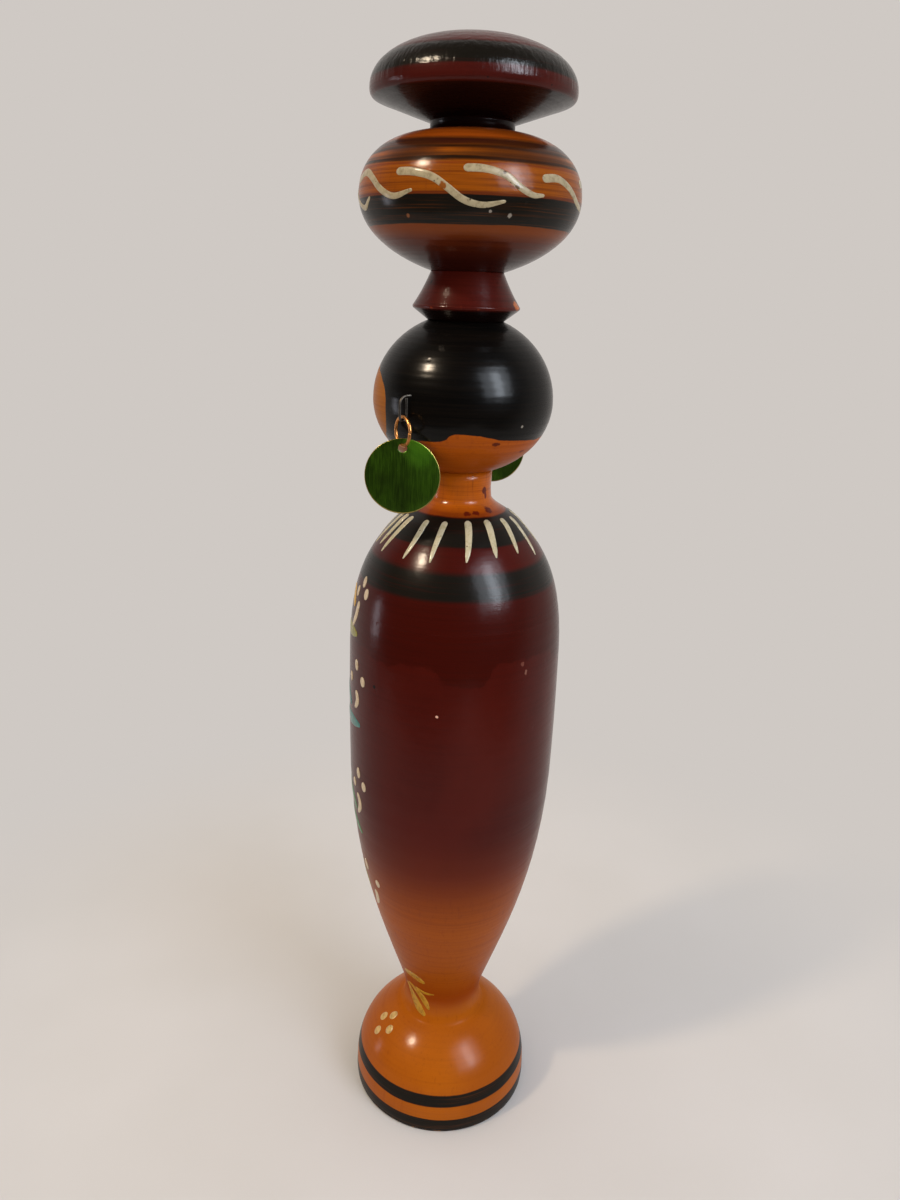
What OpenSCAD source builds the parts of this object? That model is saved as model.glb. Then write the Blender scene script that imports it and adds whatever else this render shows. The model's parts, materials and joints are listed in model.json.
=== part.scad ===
// Hand-turned wooden doll of a figure that carries a lidded pot on its head.
// Five turned pieces are stacked on hidden dowels, and a wire hook in each side of the head
// carries a split ring with a thin sheet-metal disc.
// Millimetres, +Z up, the face looks along -Y, the origin is the middle of the foot's underside.

/* [Body] */
// Radius of the round foot
foot_r = 27.2; // [25:0.1:29]
// Height of the foot's upright side
foot_side_h = 6; // [4:0.5:9]
// Rounding of the foot's lower edge
foot_edge = 0.8; // [0.4:0.1:2]
// Radius where the foot's dome turns into the hollow of the waist
dome_r = 13.6; // [13.4:0.1:14.2]
// Height where the foot's dome turns into the hollow of the waist
dome_z = 27.6; // [27:0.1:28.2]
// Radius just above the waist, where the torso's taper starts
waist_r = 12.5; // [12:0.1:13.5]
// Height just above the waist, where the torso's taper starts
waist_z = 38.4; // [37:0.1:40]
// Largest radius of the torso
torso_r = 29.25; // [28:0.05:32]
// Height where the torso's taper turns upright
torso_low_z = 121.5; // [110:0.5:130]
// Height where the shoulder starts to round in
torso_high_z = 148.5; // [140:0.5:155]
// Radius where the shoulder turns into the neck's flare
flare_r = 16; // [14:0.1:18]
// Height where the shoulder turns into the neck's flare
flare_z = 187.8; // [184:0.1:189]
// Radius of the neck
neck_r = 8.4; // [7:0.1:10]
// Height where the flare meets the upright neck
neck_z = 194; // [192:0.1:196]
// Height of the neck's top, where the head sits
body_h = 201; // [199:0.1:203]

/* [Head] */
// Largest radius of the head
head_r = 23.05; // [22:0.05:23.4]
// Height of the head between its two flat seats
head_h = 37; // [35.5:0.1:38.5]
// Height of the widest point above the lower seat
head_equator = 17.6; // [17:0.1:18]
// Radius of the flat seat on top of the head
crown_r = 9.5; // [8:0.1:10]

/* [Carried pot] */
// Height of the head ring that the pot stands on
collar_h = 11.5; // [9:0.1:14]
// Radius of the head ring's rim
collar_r = 13.4; // [11:0.05:15]
// Height of the rim above the head ring's seat
collar_rim_z = 2.9; // [2:0.1:4]
// Radius of the head ring's top, under the pot
collar_top_r = 9; // [7.5:0.1:10]
// Height of the pot
pot_h = 30.5; // [28:0.5:36]
// Largest radius of the pot
pot_r = 26.7; // [25:0.1:29]
// Height of the pot's widest point above its seat
pot_belly = 16.5; // [14.5:0.1:18]
// Radius of the pot's flat mouth
pot_mouth_r = 10; // [9:0.1:12]
// Height of the lid
lid_h = 20; // [17:0.5:22]
// Largest radius of the lid
lid_r = 24.2; // [22:0.1:27]
// Height of the lid's rim above its seat
lid_rim_z = 6.8; // [5.5:0.1:7.5]

/* [Dowels] */
// Diameter of the dowel between neck and head
neck_dowel_d = 8; // [6:0.5:9]
// Diameter of the dowels in the carried pot
pot_dowel_d = 7; // [5:0.5:8]
// Glue gap round a dowel
glue_gap = 0.05; // [0.03:0.01:0.1]

/* [Earrings] */
// Angle of each earring from the front
ear_angle = 83; // [75:1:90]
// Distance of an earring's vertical line from the doll's axis
hang_r = 24.5; // [24.3:0.1:26]
// Height of the hook's shank
hook_z = 221.3; // [220.5:0.1:222]
// Direction of the left hook's shank, from the front
left_hook_yaw = 61; // [59:1:68]
// Direction of the right hook's shank, from the front
right_hook_yaw = -109; // [-114:1:-107]
// Diameter of the hook's wire
hook_wire = 0.6; // [0.5:0.05:0.7]
// Width of the hook's eye between wire centres
eye_w = 1.8; // [1.7:0.1:2]
// Height of the eye's lower wire
eye_z = 215.6; // [215:0.1:216]
// Length of the shank from the earring's vertical line inwards
shank_l = 12; // [8:0.5:14]
// Outer diameter of the split ring
ring_d = 7.6; // [6.5:0.1:9]
// Diameter of the ring's wire
ring_wire = 0.8; // [0.6:0.05:0.9]
// Angle of the cut in the ring
ring_split = 3; // [2:1:8]
// Diameter of the disc
disc_d = 18.5; // [16:0.1:20]
// Thickness of the disc's sheet
disc_t = 0.4; // [0.3:0.05:0.6]
// Diameter of the disc's hole
disc_hole_d = 2.2; // [2:0.1:2.6]
// Width of metal left between the hole and the disc's edge
disc_bridge = 1.2; // [1:0.1:2]
// Direction that the left disc faces, from the front
left_disc_yaw = 118; // [110:1:130]
// Direction that the right disc faces, from the front
right_disc_yaw = -60; // [-62:1:-60]

/* [Hidden] */
$fn = 96;

// Points along each curve of a turned outline
curve_steps = 14;
// Points along the foot's rounded lower edge
edge_steps = 4;
// Clearance between links that hang in one another
link_gap = 0.1;

// Handles that draw the turned curves out from their ends, as [outwards, upwards]
dome_start = [0, 9];
dome_end = [8.83, -4.7];
hollow_start = [-1.5, 0.8];
hollow_end = [-1.45, -5.4];
taper_start = [7.3, 22.6];
taper_end = [0, -38.4];
shoulder_start = [0, 21.5];
shoulder_end = [9.1, -9.3];
flare_start = [-1.9, 1.9];
flare_end = [0, -2];
cone_start = [-1.8, 2.6];
cone_end = [1.1, -2.6];
pot_foot_start = [9, 2.9];
belly_end = [0, -8.2];
belly_start = [0, 9];
mouth_end = [9, -0.4];
rim_start = [0.7, 0.3];
rim_end = [0, -0.9];
lid_dome_start = [0, 7.2];
lid_dome_end = [13.2, 0];

// Short uprights: the collar's rim, the lid's neck on the pot and the lid's rim above its cone
collar_rim_h = 0.5;
collar_rim_lean = 0.05;
lid_seat_h = 2.2;
lid_rim_in = 0.9;
lid_rim_h = 1.9;

// Heights of the seats between the stacked pieces
head_z = body_h;
collar_z = head_z + head_h;
pot_z = collar_z + collar_h;
lid_z = pot_z + pot_h;

// Depths of the dowel holes, and the space left past a dowel's upper end
neck_hole = 18;
chin_hole = 16;
crown_hole = 14;
pot_foot_hole = 14;
pot_mouth_hole = 12;
lid_hole = 9;
end_gap = 0.3;

// Directions of the two ears from the front, the doll's left being +X
left_ear = ear_angle;
right_ear = -ear_angle;

// Heights in each earring: every link hangs straight below the hook's eye
ring_mean_r = (ring_d - ring_wire) / 2;
ring_z = eye_z + hook_wire / 2 + link_gap - (ring_mean_r - ring_wire / 2);
hole_z = ring_z - ring_mean_r + ring_wire / 2 + link_gap - disc_hole_d / 2;
disc_z = hole_z + disc_hole_d / 2 + disc_bridge - disc_d / 2;

// Bend radii of the hook's wire: at the eye's lower corners and at the shank
eye_bend = 0.55;
shank_bend = 2;
// How far a hole's cut reaches past the surface that it opens
cut = 1;

wood_orange = "#c06a1c";
wood_red = "#4a1412";
hair_black = "#12100e";
bare_wood = "#c9a26b";
wire_grey = "#4b4640";
copper = "#b5713f";
sheet_green = "#2c5a12";

// Points of a cubic curve after its start p0, drawn towards p1 and p2 and ending at p3
function curve(p0, p1, p2, p3) = [
    for (i = [1 : curve_steps])
        let (t = i / curve_steps, s = 1 - t)
            s * s * s * p0 + 3 * s * s * t * p1 + 3 * s * t * t * p2 + t * t * t * p3
];

// Points of an elliptic arc about height z on the axis, from angle a0 to a1
function elliptic_arc(z, r, half_h, a0, a1) = [
    for (i = [0 : curve_steps])
        let (a = a0 + (a1 - a0) * i / curve_steps)
            [r * cos(a), z + half_h * sin(a)]
];

// Half height of an ellipse of radius r that is seat_r wide at the distance h from its middle
function half_height(r, seat_r, h) = h / sqrt(1 - pow(seat_r / r, 2));

// Outline of the foot: rounded lower edge, upright side, domed top and the hollow of the waist
function foot_outline() =
    let (
        side = [foot_r, foot_side_h],
        dome = [dome_r, dome_z],
        waist = [waist_r, waist_z],
        edge_arc = [
            for (i = [0 : edge_steps])
                let (a = -90 + 90 * i / edge_steps)
                    [foot_r - foot_edge + foot_edge * cos(a), foot_edge + foot_edge * sin(a)]
        ]
    )
    concat(
        edge_arc,
        [side],
        curve(side, side + dome_start, dome + dome_end, dome),
        curve(dome, dome + hollow_start, waist + hollow_end, waist)
    );

// Outline of the tapering torso, the shoulder and the flare into the neck
function torso_outline() =
    let (
        waist = [waist_r, waist_z],
        low = [torso_r, torso_low_z],
        high = [torso_r, torso_high_z],
        flare = [flare_r, flare_z],
        neck = [neck_r, neck_z]
    )
    concat(
        curve(waist, waist + taper_start, low + taper_end, low),
        [high],
        curve(high, high + shoulder_start, flare + shoulder_end, flare),
        curve(flare, flare + flare_start, neck + flare_end, neck)
    );

function body_outline() = concat(
    [[0, 0]], foot_outline(), torso_outline(), [[neck_r, body_h], [0, body_h]]
);

// Outline of the head: two half ellipses that share the equator, cut flat at both seats
function head_outline() =
    let (
        upper_h = head_h - head_equator,
        low = half_height(head_r, neck_r, head_equator),
        high = half_height(head_r, crown_r, upper_h),
        middle = head_z + head_equator
    )
    concat(
        [[0, head_z]],
        elliptic_arc(middle, head_r, low, -asin(head_equator / low), 0),
        elliptic_arc(middle, head_r, high, 0, asin(upper_h / high)),
        [[0, collar_z]]
    );

// Outline of the head ring: a short cone with a sharp rim that is undercut towards the head
function collar_outline() =
    let (
        edge = [collar_r - collar_rim_lean, collar_z + collar_rim_z],
        rim = [collar_r, collar_z + collar_rim_z + collar_rim_h],
        top = [collar_top_r, pot_z]
    )
    concat(
        [[0, collar_z], [crown_r, collar_z], edge, rim],
        curve(rim, rim + cone_start, top + cone_end, top),
        [[0, pot_z]]
    );

// Outline of the pot: a squat belly, steeper below its widest point than above
function pot_outline() =
    let (
        foot = [collar_top_r, pot_z],
        belly = [pot_r, pot_z + pot_belly],
        mouth = [pot_mouth_r, lid_z]
    )
    concat(
        [[0, pot_z], foot],
        curve(foot, foot + pot_foot_start, belly + belly_end, belly),
        curve(belly, belly + belly_start, mouth + mouth_end, mouth),
        [[0, lid_z]]
    );

// Outline of the lid: a shallow dome with a rounded rim over a low cone on a short neck
function lid_outline() =
    let (
        seat = [pot_mouth_r, lid_z],
        under = [lid_r - lid_rim_in, lid_z + lid_rim_z],
        rim = [lid_r, lid_z + lid_rim_z + lid_rim_h],
        top = [0, lid_z + lid_h]
    )
    concat(
        [[0, lid_z], seat, seat + [0, lid_seat_h], under],
        curve(under, under + rim_start, rim + rim_end, rim),
        curve(rim, rim + lid_dome_start, top + lid_dome_end, top)
    );

module turned(outline) {
    rotate_extrude() polygon(outline);
}

// A dowel or its hole, from height z0 to z1
module peg(d, z0, z1) {
    translate([0, 0, z0]) cylinder(d = d, h = z1 - z0);
}

// Places a link on the vertical line of one ear, with +X turned to the direction yaw
module hang(ear, yaw) {
    translate([hang_r * sin(ear), -hang_r * cos(ear), 0])
        rotate([0, 0, yaw - 90])
            children();
}

module body() {
    color(wood_red) difference() {
        turned(body_outline());
        peg(neck_dowel_d + 2 * glue_gap, body_h - neck_hole, body_h + cut);
    }
}

module head() {
    color(hair_black) difference() {
        turned(head_outline());
        peg(neck_dowel_d + 2 * glue_gap, head_z - cut, head_z + chin_hole);
        peg(pot_dowel_d + 2 * glue_gap, collar_z - crown_hole, collar_z + cut);
        hang(left_ear, left_hook_yaw) shank(hook_wire + 2 * glue_gap);
        hang(right_ear, right_hook_yaw) shank(hook_wire + 2 * glue_gap);
    }
}

module collar() {
    color(wood_red) difference() {
        turned(collar_outline());
        peg(pot_dowel_d + 2 * glue_gap, collar_z - cut, pot_z + cut);
    }
}

module pot() {
    color(wood_orange) difference() {
        turned(pot_outline());
        peg(pot_dowel_d + 2 * glue_gap, pot_z - cut, pot_z + pot_foot_hole);
        peg(pot_dowel_d + 2 * glue_gap, lid_z - pot_mouth_hole, lid_z + cut);
    }
}

module lid() {
    color(wood_red) difference() {
        turned(lid_outline());
        peg(pot_dowel_d + 2 * glue_gap, lid_z - cut, lid_z + lid_hole);
    }
}

module neck_dowel() {
    color(bare_wood) peg(neck_dowel_d, body_h - neck_hole, head_z + chin_hole - end_gap);
}

module crown_dowel() {
    color(bare_wood) peg(pot_dowel_d, collar_z - crown_hole, pot_z + pot_foot_hole - end_gap);
}

module lid_dowel() {
    color(bare_wood) peg(pot_dowel_d, lid_z - pot_mouth_hole, lid_z + lid_hole - end_gap);
}

// Straight part of the hook that is driven into the head
module shank(d) {
    translate([eye_w / 2 - shank_bend, 0, hook_z])
        rotate([0, -90, 0])
            cylinder(d = d, h = shank_l + eye_w / 2 - shank_bend, $fn = 32);
}

// Quarter bend of the hook's wire about [x, 0, z], from the direction a0
module wire_bend(x, z, r, a0) {
    translate([x, 0, z])
        rotate([90, 0, 0])
            rotate([0, 0, a0])
                rotate_extrude(angle = 90, $fn = 64)
                    translate([r, 0])
                        circle(d = hook_wire, $fn = 32);
}

module wire_upright(x, z0, z1) {
    translate([x, 0, z0]) cylinder(d = hook_wire, h = z1 - z0, $fn = 32);
}

// Wire pin whose end is bent down and round into a narrow eye
module hook() {
    side = eye_w / 2;
    corner = side - eye_bend;
    shank(hook_wire);
    wire_bend(side - shank_bend, hook_z - shank_bend, shank_bend, 0);
    wire_upright(side, eye_z + eye_bend, hook_z - shank_bend);
    wire_bend(corner, eye_z + eye_bend, eye_bend, -90);
    translate([-corner, 0, eye_z])
        rotate([0, 90, 0])
            cylinder(d = hook_wire, h = 2 * corner, $fn = 32);
    wire_bend(-corner, eye_z + eye_bend, eye_bend, 180);
    wire_upright(-side, eye_z + eye_bend, hook_z - hook_wire / 2 - 2 * link_gap);
}

// Split ring, standing on edge with the cut at its side
module ring() {
    translate([0, 0, ring_z])
        rotate([0, 90, 0])
            rotate([0, 0, 90 + ring_split / 2])
                rotate_extrude(angle = 360 - ring_split)
                    translate([ring_mean_r, 0])
                        circle(d = ring_wire, $fn = 32);
}

// Thin disc on edge, with the hole that the ring passes through
module disc() {
    difference() {
        translate([-disc_t / 2, 0, disc_z])
            rotate([0, 90, 0])
                cylinder(d = disc_d, h = disc_t);
        translate([-disc_t, 0, hole_z])
            rotate([0, 90, 0])
                cylinder(d = disc_hole_d, h = 2 * disc_t, $fn = 48);
    }
}

module ear_hook_left() {
    color(wire_grey) hang(left_ear, left_hook_yaw) hook();
}

module ear_ring_left() {
    color(copper) hang(left_ear, left_hook_yaw) ring();
}

module ear_disc_left() {
    color(sheet_green) hang(left_ear, left_disc_yaw) disc();
}

module ear_hook_right() {
    color(wire_grey) hang(right_ear, right_hook_yaw) hook();
}

module ear_ring_right() {
    color(copper) hang(right_ear, right_hook_yaw) ring();
}

module ear_disc_right() {
    color(sheet_green) hang(right_ear, right_disc_yaw) disc();
}

body();
head();
collar();
pot();
lid();
neck_dowel();
crown_dowel();
lid_dowel();
ear_hook_left();
ear_ring_left();
ear_disc_left();
ear_hook_right();
ear_ring_right();
ear_disc_right();
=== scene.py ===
import json
import math
from collections import Counter

import bpy
from mathutils import Matrix, Vector


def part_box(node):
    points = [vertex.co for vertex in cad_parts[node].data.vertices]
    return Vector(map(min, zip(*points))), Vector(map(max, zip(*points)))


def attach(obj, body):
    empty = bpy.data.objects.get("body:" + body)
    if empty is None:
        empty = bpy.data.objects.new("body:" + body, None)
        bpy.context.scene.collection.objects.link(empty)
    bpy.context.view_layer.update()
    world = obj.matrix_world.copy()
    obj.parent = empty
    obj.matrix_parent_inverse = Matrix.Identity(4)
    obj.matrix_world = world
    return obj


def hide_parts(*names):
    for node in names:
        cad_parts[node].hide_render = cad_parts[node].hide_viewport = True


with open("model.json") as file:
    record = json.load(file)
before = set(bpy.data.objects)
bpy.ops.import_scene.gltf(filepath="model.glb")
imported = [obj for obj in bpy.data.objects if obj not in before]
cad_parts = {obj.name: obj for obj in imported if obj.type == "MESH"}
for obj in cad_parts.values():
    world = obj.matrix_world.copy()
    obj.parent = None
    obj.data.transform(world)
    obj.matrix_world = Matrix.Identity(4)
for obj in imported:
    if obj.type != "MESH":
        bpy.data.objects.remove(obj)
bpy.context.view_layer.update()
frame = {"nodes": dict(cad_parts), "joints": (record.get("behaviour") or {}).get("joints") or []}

# Heights, radii and widths below are millimetres, and angles are degrees from the doll's front
# towards its left side, which is +X. Meshes are written in metres.
MM = 0.001

# Camera, as found from the turned outline in the photograph
CAMERA_ANGLE = 118
CAMERA_DISTANCE = 238.9
CAMERA_HEIGHT = 246.6
CAMERA_PITCH = 19.1
CAMERA_TURN = 0.39
CAMERA_ROLL = 1.9
FOCAL_PIXELS = 912.9
IMAGE_HEIGHT = 1200

# Points round a turned piece, steps between two points of its outline, and how its edges are rounded
ROUNDS = 180
OUTLINE_STEPS = 3
EDGE_ROUNDING = 0.22
COLLAR_ROUNDING = 0.9
ARC_SHARES = (0, 0.25, 0.5, 0.75, 1)
# Turn of an outline that counts as a corner
CORNER_ANGLE = 14
# Fewest points of a round in a CAD node, and radii within which dowel holes and the lid's tip lie
RING_POINTS = 24
BORE_LIMIT = 4.6
TIP_LIMIT = 2

# Painted colours, as they look in even light
DARK_RED = "#430c05"
DEEP_RED = "#2c0a06"
BROWN_RED = "#64240d"
ORANGE = "#ad5b0a"
BROWN_ORANGE = "#9b4b08"
NECK_ORANGE = "#ba5d0b"
SKIN = "#a8500b"
BLACK = "#17140f"
HAIR = "#070605"
CREAM = "#c4bb9b"
MOUTH_RED = "#a3261c"
BARE_WOOD = "#c9a26b"
ROOM = "#cfc9c4"
DARK_SIDE = "#2b2927"
TABLE_SHEEN = "#5e5751"


# Colours and node helpers

def rgb(text):
    """Linear colour of a #rrggbb text."""
    parts = [int(text[i:i + 2], 16) / 255 for i in (1, 3, 5)]
    return tuple(c / 12.92 if c < 0.04 else ((c + 0.055) / 1.055) ** 2.4 for c in parts) + (1,)


class Nodes:
    """Builds the nodes of one tree, from numbers, #rrggbb colours and the sockets of other nodes."""

    def __init__(self, tree):
        self.tree = tree

    def new(self, kind):
        return self.tree.nodes.new("ShaderNode" + kind)

    def join(self, value, socket):
        if isinstance(value, bpy.types.NodeSocket):
            self.tree.links.new(value, socket)
        else:
            socket.default_value = rgb(value) if isinstance(value, str) else value

    def vector_math(self, operation, a, b):
        node = self.new("VectorMath")
        node.operation = operation
        for value, socket in zip((a, b), node.inputs):
            self.join(value, socket)
        return node

    def math(self, operation, a, b=0, c=0):
        node = self.new("Math")
        node.operation = operation
        for value, socket in zip((a, b, c), node.inputs):
            self.join(value, socket)
        return node.outputs[0]

    def times(self, a, b):
        return self.math("MULTIPLY", a, b)

    def ramp(self, value, low, high, out_low=0, out_high=1):
        """Smooth change from out_low to out_high while value goes from low to high."""
        node = self.new("MapRange")
        node.interpolation_type = "SMOOTHSTEP"
        for number, socket in zip((value, low, high, out_low, out_high), node.inputs):
            self.join(number, socket)
        return node.outputs[0]

    def mix(self, factor, a, b):
        """Colour a where the factor is 0, and b where it is 1."""
        node = self.new("Mix")
        node.data_type = "RGBA"
        for value, socket in zip((factor, a, b), (node.inputs[0], node.inputs[6], node.inputs[7])):
            self.join(value, socket)
        return node.outputs[2]

    def fade(self, a, b, value, low, high, most=1):
        """Colour that goes from a towards b, as far as most, while value goes from low to high."""
        return self.mix(self.ramp(value, low, high, 0, most), a, b)


class Paint(Nodes):
    """One material, whose nodes know the place on the doll in millimetres."""

    def __init__(self, name):
        self.material = bpy.data.materials.new(name)
        self.material.use_nodes = True
        super().__init__(self.material.node_tree)
        self.tree.nodes.clear()
        self.shader = self.new("BsdfPrincipled")
        self.join(self.shader.outputs["BSDF"], self.new("OutputMaterial").inputs["Surface"])
        self.point = self.scaled(self.new("TexCoord").outputs["Object"], (1 / MM, 1 / MM, 1 / MM))
        split = self.new("SeparateXYZ")
        self.join(self.point, split.inputs[0])
        self.x, self.y, self.z = split.outputs

    def scaled(self, vector, factors):
        return self.vector_math("MULTIPLY", vector, factors).outputs[0]

    def noise(self, across, along=None, detail=3, roughness=0.5):
        """Noise of that many waves per millimetre across the doll and, where given, along it."""
        node = self.new("TexNoise")
        point = self.scaled(self.point, (across, across, along or across))
        self.join(point, node.inputs["Vector"])
        for name, value in (("Scale", 1), ("Detail", detail), ("Roughness", roughness)):
            self.join(value, node.inputs[name])
        return node.outputs[0]

    def strayed(self, value, reach, *waves, detail=3):
        """The value, off by up to reach to either side as a noise goes."""
        stray = self.math("MULTIPLY_ADD", self.noise(*waves, detail=detail), 2 * reach, -reach)
        return self.math("ADD", value, stray)

    def specks(self, per_mm, size):
        """1 in small round specks, 0 elsewhere."""
        node = self.new("TexVoronoi")
        self.join(self.point, node.inputs["Vector"])
        self.join(per_mm, node.inputs["Scale"])
        return self.ramp(node.outputs["Distance"], size, size * 0.5)

    def bump(self, height, depth):
        """Surface relief of depth millimetres."""
        node = self.new("Bump")
        for name, value in (("Strength", 1), ("Distance", depth * MM), ("Height", height)):
            self.join(value, node.inputs[name])
        return node.outputs[0]

    def angle(self):
        """Angle from the doll's front in degrees, positive to its left."""
        turn = self.math("ARCTAN2", self.x, self.times(self.y, -1))
        return self.times(turn, 180 / math.pi)

    def between(self, value, low, high, soft):
        """1 between low and high, with soft edges."""
        rise = self.ramp(value, low - soft, low + soft)
        fall = self.ramp(value, high + soft, high - soft)
        return self.times(rise, fall)

    def squares(self, a, b):
        return self.math("ADD", self.math("POWER", a, 2), self.math("POWER", b, 2))

    def off_middle(self, angle, height, wide, tall):
        """Square of the way from a middle, 1 at wide degrees or tall millimetres from it."""
        across = self.math("DIVIDE", self.math("SUBTRACT", self.angle(), angle), wide)
        along = self.math("DIVIDE", self.math("SUBTRACT", self.z, height), tall)
        return self.squares(across, along)

    def spot(self, *place):
        """1 inside a ragged spot on the surface."""
        return self.ramp(self.strayed(self.off_middle(*place), 1.2, 1.4), 1.3, 0.5)

    def blush(self, *place):
        """Soft round patch, fading from its middle."""
        return self.ramp(self.off_middle(*place), 1, 0, 0, 0.75)

    def curve(self, value, points):
        """Height read from a list of (value, height) points."""
        low, high = points[0][0], points[-1][0]
        bottom = min(height for _, height in points)
        top = max(height for _, height in points)
        node = self.new("FloatCurve")
        line = node.mapping.curves[0]
        while len(line.points) < len(points):
            line.points.new(0.5, 0.5)
        for knot, (at, height) in zip(line.points, points):
            knot.location = ((at - low) / (high - low), (height - bottom) / (top - bottom))
        node.mapping.update()
        share = self.math("DIVIDE", self.math("SUBTRACT", value, low), high - low)
        self.join(share, node.inputs["Value"])
        return self.math("MULTIPLY_ADD", node.outputs[0], top - bottom, bottom)

    def set(self, **values):
        """Sets the shader's sockets, named with underscores for spaces."""
        for name, value in values.items():
            self.join(value, self.shader.inputs[name.replace("_", " ")])


# Lacquered wood

def turned_height(paint):
    """Height that wavers a little round the piece, so that painted rings have hand-held edges."""
    return paint.strayed(paint.z, 0.5, 0.05, 0.4, detail=4)


def rings(paint, base, rows):
    """Painted rings over a base colour. A row is (low, high, softness, cover, colour)."""
    height = turned_height(paint)
    streaks = paint.noise(0.03, 2.6, detail=5, roughness=0.7)
    for low, high, soft, cover, colour in rows:
        mask = paint.between(height, low, high, soft)
        thin = paint.ramp(streaks, 0.28, 0.5, cover, 1)
        base = paint.mix(paint.times(mask, thin), base, colour)
    return base


def streaked(paint, colour, dark, amount):
    """Colour with the darker streaks that a brush leaves on turning wood."""
    streaks = paint.noise(0.02, 1.5, detail=6, roughness=0.75)
    return paint.fade(colour, dark, streaks, 0.4, 0.72, amount)


def clouded(paint, colour, other, amount):
    """Colour that drifts slowly towards another, as stain takes unevenly."""
    cloud = paint.noise(0.035, 0.025)
    return paint.fade(colour, other, cloud, 0.35, 0.7, amount)


def grained(paint, colour, dark, amount):
    """Colour with long wood pores that run up the piece."""
    pores = paint.noise(1.3, 0.06, detail=4, roughness=0.65)
    return paint.fade(colour, dark, pores, 0.52, 0.74, amount)


def marked(paint, colour, rows):
    """Small marks in the finish. A row is (angle, height, width in degrees, height, colour)."""
    for *place, mark in rows:
        colour = paint.mix(paint.spot(*place), colour, mark)
    return colour


# Depth of the turning lines under the lacquer
TURNING_DEPTH = 0.02


def lacquer(paint, colour, gloss, peel=0.05, coat=0.7, ripple=None):
    """Finishes a painted colour as brushed lacquer over turning lines, with drips where it ripples."""
    turning = paint.noise(0.015, 3.4, detail=5, roughness=0.7)
    brushed = paint.noise(0.12, 0.9, detail=4, roughness=0.65)
    scuffs = paint.noise(0.5, detail=5, roughness=0.7)
    layers = [(brushed, 0.6), (scuffs, 0.45), (turning, 0.35)]
    if ripple is not None:
        layers.append((paint.noise(0.9, 0.16), ripple))
    layers += [(paint.specks(0.12, 0.05), 0.6), (paint.specks(0.1, 0.06), -0.8)]
    relief = paint.noise(0.3, detail=2)
    for layer, height in layers:
        relief = paint.math("MULTIPLY_ADD", layer, height, relief)
    paint.set(
        Base_Color=colour,
        Roughness=paint.ramp(turning, 0.3, 0.7, 0.36, 0.52),
        Normal=paint.bump(turning, TURNING_DEPTH),
        Coat_Normal=paint.bump(relief, peel),
        Coat_Weight=coat,
        Coat_Roughness=gloss,
        Coat_IOR=1.28,
        Specular_IOR_Level=0.02,
    )
    return paint.material


# Heights between which one colour of the body passes into the next
DOME_TO_WAIST = (30.5, 37)
WAIST_TO_TORSO = (35, 49)
ORANGE_TO_BROWN = (66, 95)
BROWN_TO_RED = (82, 108)
TORSO_TO_NECK = (190.2, 190.5)
# Edge of the painted reflection on the torso, as angles and heights, and where the darker zone above it
# ends at the top
REFLECTION_EDGE = (
    (-180, 154.5), (-120, 151.5), (-60, 156), (0, 153), (60, 155.5), (80, 153.6),
    (90, 155), (104, 155.2), (112, 151.8), (127, 150.6), (138, 155.2), (148, 156.4),
    (180, 154.5),
)
REFLECTION_EDGE_TOP = (179, 177)
# Heights between which dust dulls the crease above the foot's dome
CREASE = (27, 30.4)
BODY_RINGS = (
    (-1, 4.9, 0.12, 0.85, BLACK),
    (9.55, 13.35, 0.15, 0.85, BLACK),
    (172.1, 178.7, 0.7, 0.45, BLACK),
    (184.1, 190.3, 0.35, 0.7, BLACK),
)
BODY_MARKS = (
    (168.5, 196.2, 6, 0.9, "#5a1c08"), (172, 194.9, 3, 1, "#661f0a"),
    (128.7, 191.1, 5, 0.45, "#641c08"), (141.5, 191.2, 5, 0.45, "#641c08"),
    (163.7, 191.5, 6, 0.7, "#5a1a08"), (110.6, 142.3, 0.7, 0.35, "#d8a890"),
    (155.4, 155.2, 1.2, 0.6, "#6e3c30"), (157.8, 152.7, 0.8, 0.8, "#7c5042"),
    (73.4, 146.2, 1, 0.6, "#120503"), (-96, 120, 1.2, 0.6, "#1c0704"),
    (-140, 88, 1.4, 0.6, "#3a1206"), (20, 5.5, 4, 0.9, "#4a1a08"),
)


def painted_reflection_edge(paint):
    """1 above a wandering edge on the upper torso, which is painted darker there: painted reflection, as
    the table's reflection lightens only the torso below the edge.
    """
    height = paint.strayed(paint.z, 2, 0.3)
    above = paint.math("SUBTRACT", height, paint.curve(paint.angle(), REFLECTION_EDGE))
    return paint.times(paint.ramp(above, -0.3, 0.6), paint.ramp(paint.z, *REFLECTION_EDGE_TOP))


def body_colour(paint):
    """Orange foot and neck, and a dark red torso that fades to orange-brown."""
    height = turned_height(paint)
    wood = grained(paint, streaked(paint, ORANGE, BROWN_RED, 0.16), BROWN_RED, 0.25)
    wood = clouded(paint, wood, "#8f430a", 0.5)
    low_torso = grained(paint, streaked(paint, BROWN_ORANGE, BROWN_RED, 0.35), BROWN_RED, 0.3)
    red = clouded(paint, streaked(paint, DARK_RED, DEEP_RED, 0.35), "#4f1208", 0.7)
    # Darker red above the edge: painted reflection of the table, which lightens only the torso below it
    red = paint.mix(painted_reflection_edge(paint), red, streaked(paint, "#3e0a03", "#290702", 0.35))
    sprayed = paint.fade(low_torso, BROWN_RED, height, *ORANGE_TO_BROWN)
    sprayed = paint.fade(sprayed, red, height, *BROWN_TO_RED)
    # Darker orange at the waist: painted shade in the crease above the foot's dome
    waist = paint.fade("#8c3a06", sprayed, height, *WAIST_TO_TORSO)
    torso = paint.fade(wood, waist, height, *DOME_TO_WAIST)
    neck = grained(paint, streaked(paint, NECK_ORANGE, "#6e2408", 0.45), BROWN_RED, 0.4)
    neck = paint.fade(neck, "#7a2c0a", height, 192.6, 190.6, 0.75)
    return paint.fade(torso, neck, height, *TORSO_TO_NECK)


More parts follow.
